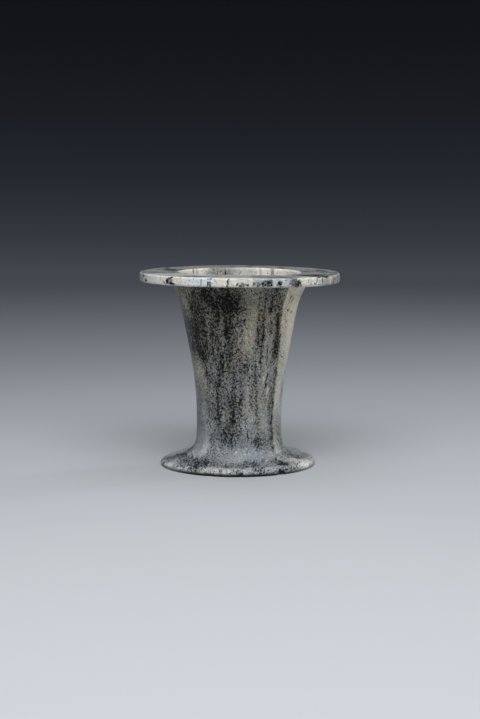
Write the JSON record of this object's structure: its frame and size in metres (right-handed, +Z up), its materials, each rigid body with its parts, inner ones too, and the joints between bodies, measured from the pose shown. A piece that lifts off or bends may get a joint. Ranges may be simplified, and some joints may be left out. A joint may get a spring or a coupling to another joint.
{
  "type": "marble vase",
  "caption": "Small hollow stone vase with a flat disc rim, a wall narrowing to a low waist and a spreading foot.",
  "frame": {"origin": "centre of the underside, on the surface the vase stands on", "axes": "+Z up along the turning axis, -Y towards the side shown in the picture"},
  "size_m": [0.0822, 0.0822, 0.08],
  "materials": {
    "marble": "polished, pale with blue-black speckle"
  },
  "bodies": {
    "root": {"vase": "marble"}
  },
  "joints": []
}
